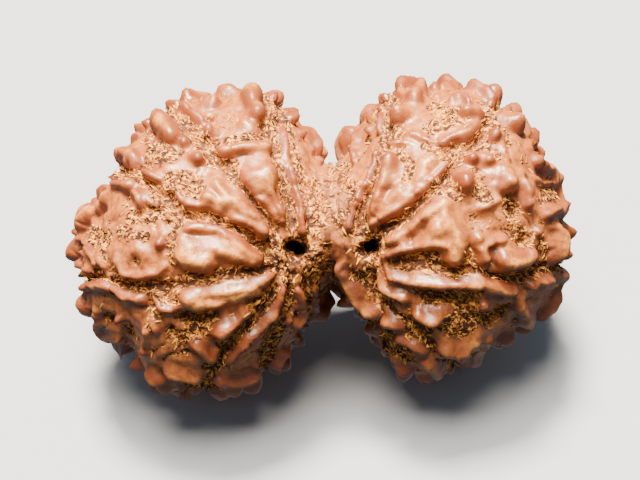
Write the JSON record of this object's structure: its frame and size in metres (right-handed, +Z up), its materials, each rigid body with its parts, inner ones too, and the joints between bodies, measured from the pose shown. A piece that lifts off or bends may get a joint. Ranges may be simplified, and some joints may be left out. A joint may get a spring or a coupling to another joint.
{
  "type": "gauri shankar rudraksha",
  "caption": "natural twin rudraksha seed: knobbly ribbed stones grown together along one side, each with a thin threading hole from pole to pole",
  "frame": {"origin": "centre of the bounding box, on the surface the nut rests on", "axes": "+X along the pair from the larger stone to the smaller, +Z up, the threading holes face up and towards -Y"},
  "size_m": [0.0341, 0.0214, 0.021],
  "materials": {
    "nut": "satin"
  },
  "bodies": {
    "root": {"gauri_shankar_rudraksha": "nut"}
  },
  "joints": []
}
